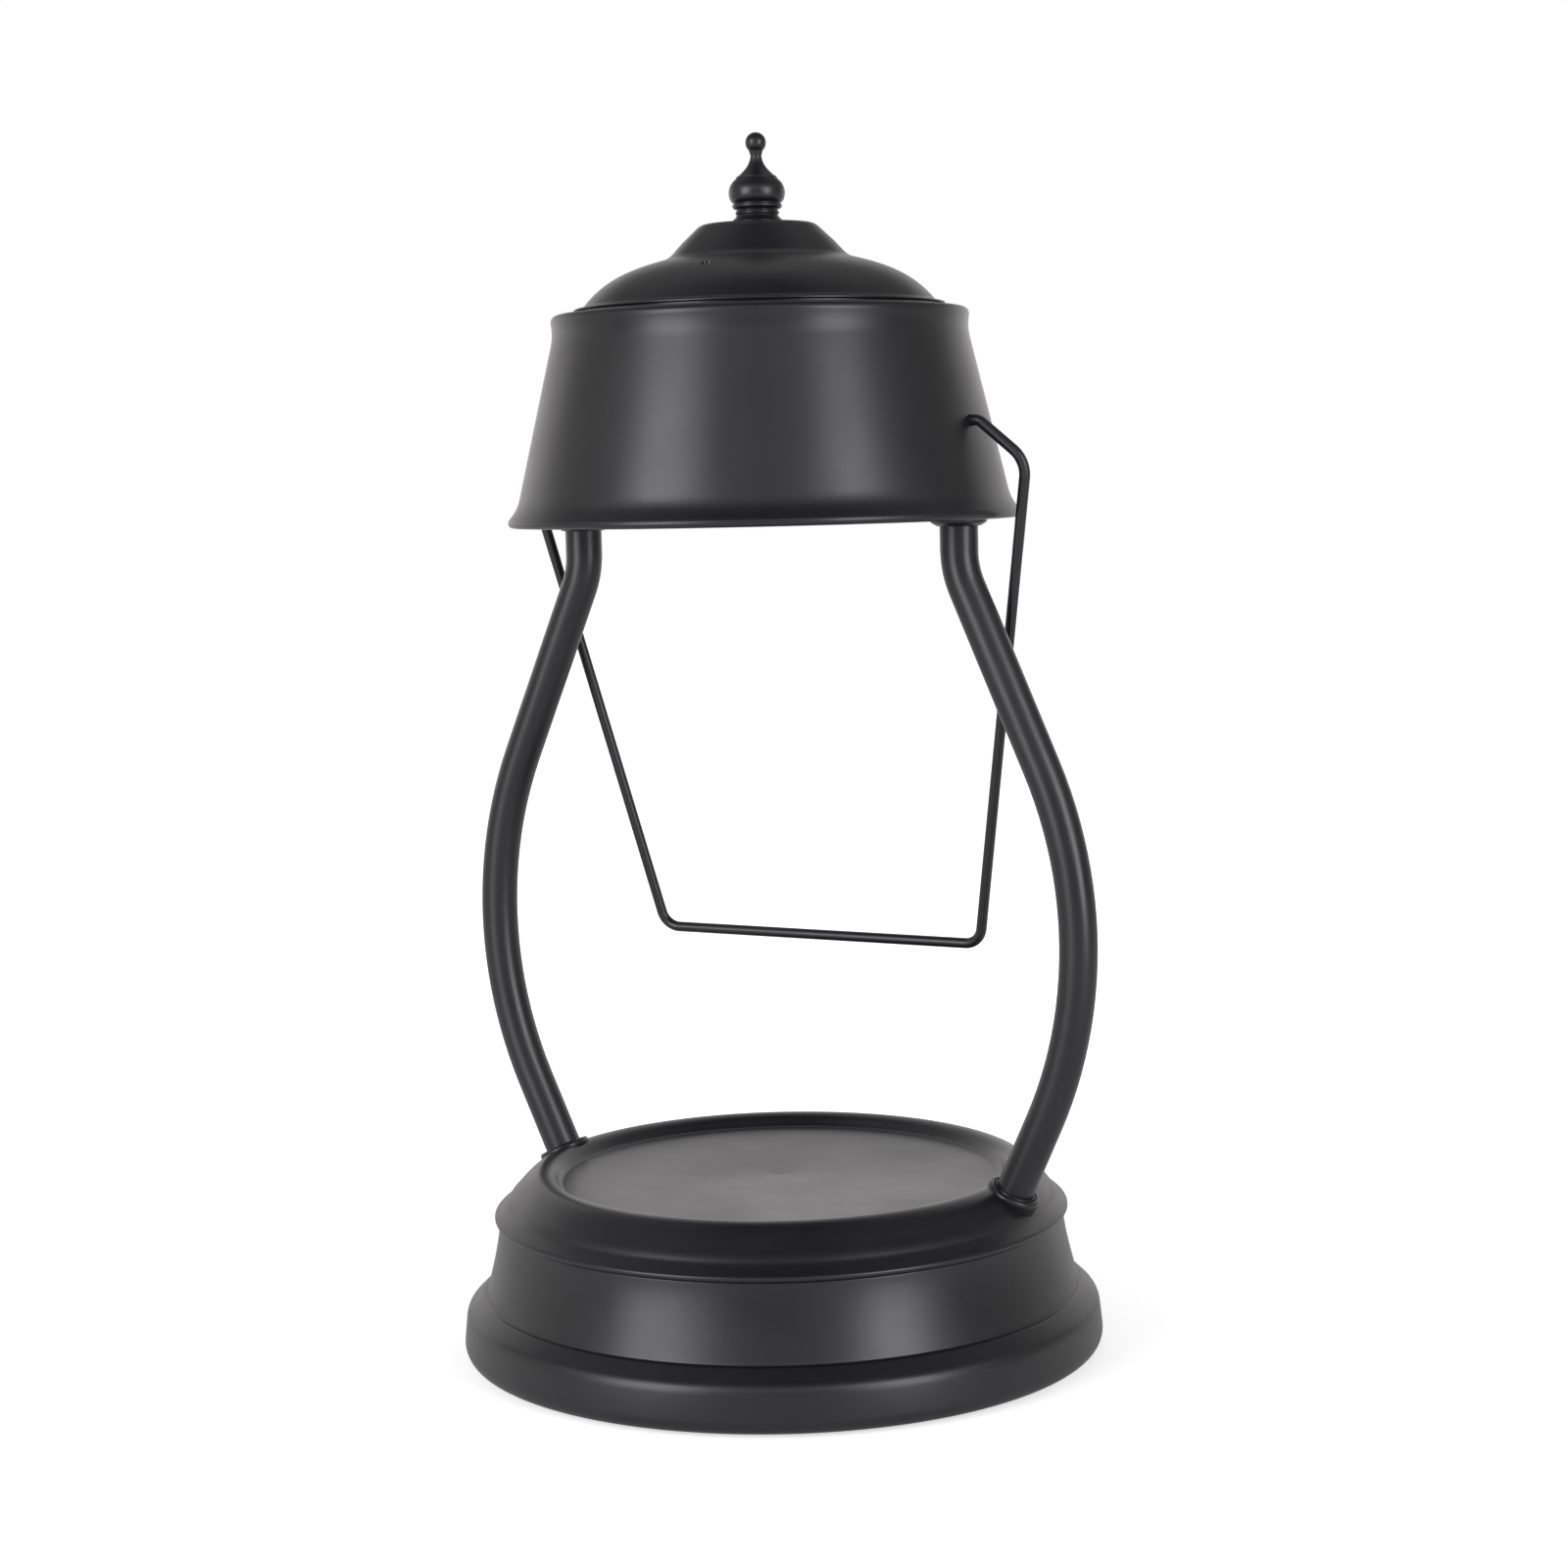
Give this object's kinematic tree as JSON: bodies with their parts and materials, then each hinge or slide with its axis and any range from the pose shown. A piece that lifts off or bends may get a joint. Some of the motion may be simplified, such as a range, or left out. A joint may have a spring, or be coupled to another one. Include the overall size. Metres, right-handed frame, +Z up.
{
  "type": "candle warmer lamp",
  "caption": "Black lantern-shaped candle warmer lamp: round stepped base, two bowed tube posts, domed shade with finial, wire bail handle and a reflector bulb inside the shade.",
  "frame": {"origin": "centre of the round base at table level, on the lamp's axis", "axes": "+Z up along the lamp's axis; the two posts and the bail's pivots stand in the XZ plane; -Y is the front, and the cord inlet is at +Y"},
  "size_m": [0.1776, 0.165, 0.3093],
  "materials": {
    "black_paint": "satin",
    "zinc_steel": "satin",
    "rubber": "matte",
    "white_plastic": "matte",
    "cable_sheath": "matte",
    "brass": "satin",
    "ceramic": "satin",
    "reflector_coat": "polished",
    "clear_glass": "polished"
  },
  "bodies": {
    "frame": {"base_pan": "black_paint", "base_skirt": "black_paint", "bottom_cover": "black_paint", "cover_standoffs": "zinc_steel", "cover_screws": "zinc_steel", "rubber_feet": "rubber", "cord_grommet": "rubber", "terminal_block": "white_plastic", "terminal_screws": "brass", "lead_cable": "cable_sheath", "left_post": "black_paint", "right_post": "black_paint", "threaded_nipples": "zinc_steel", "post_collars": "black_paint", "bevel_washers": "zinc_steel", "base_nuts": "zinc_steel", "top_collars": "black_paint", "bridge_strap": "zinc_steel", "top_washers": "zinc_steel", "top_nuts": "zinc_steel", "lamp_holder": "ceramic", "holder_contacts": "brass", "holder_screws": "zinc_steel", "finial_stud": "zinc_steel", "shade_body": "black_paint", "shade_cap": "black_paint", "finial": "black_paint"},
    "bail": {"bail_handle": "black_paint"},
    "bulb": {"bulb_reflector": "reflector_coat", "bulb_lens": "clear_glass", "bulb_capsule": "clear_glass", "bulb_base": "ceramic", "bulb_pins": "zinc_steel"}
  },
  "joints": [
    {"name": "bail_swing", "type": "hinge", "parent": "frame", "child": "bail", "pos_m": [0, 0, 0.23623], "axis": [1, 0, 0], "range_deg": [-3.6, 342.8]},
    {"name": "bulb_twist", "type": "hinge", "parent": "frame", "child": "bulb", "pos_m": [0, 0, 0.2608], "axis": [0, 0, 1], "range_deg": [-20, 0]}
  ]
}
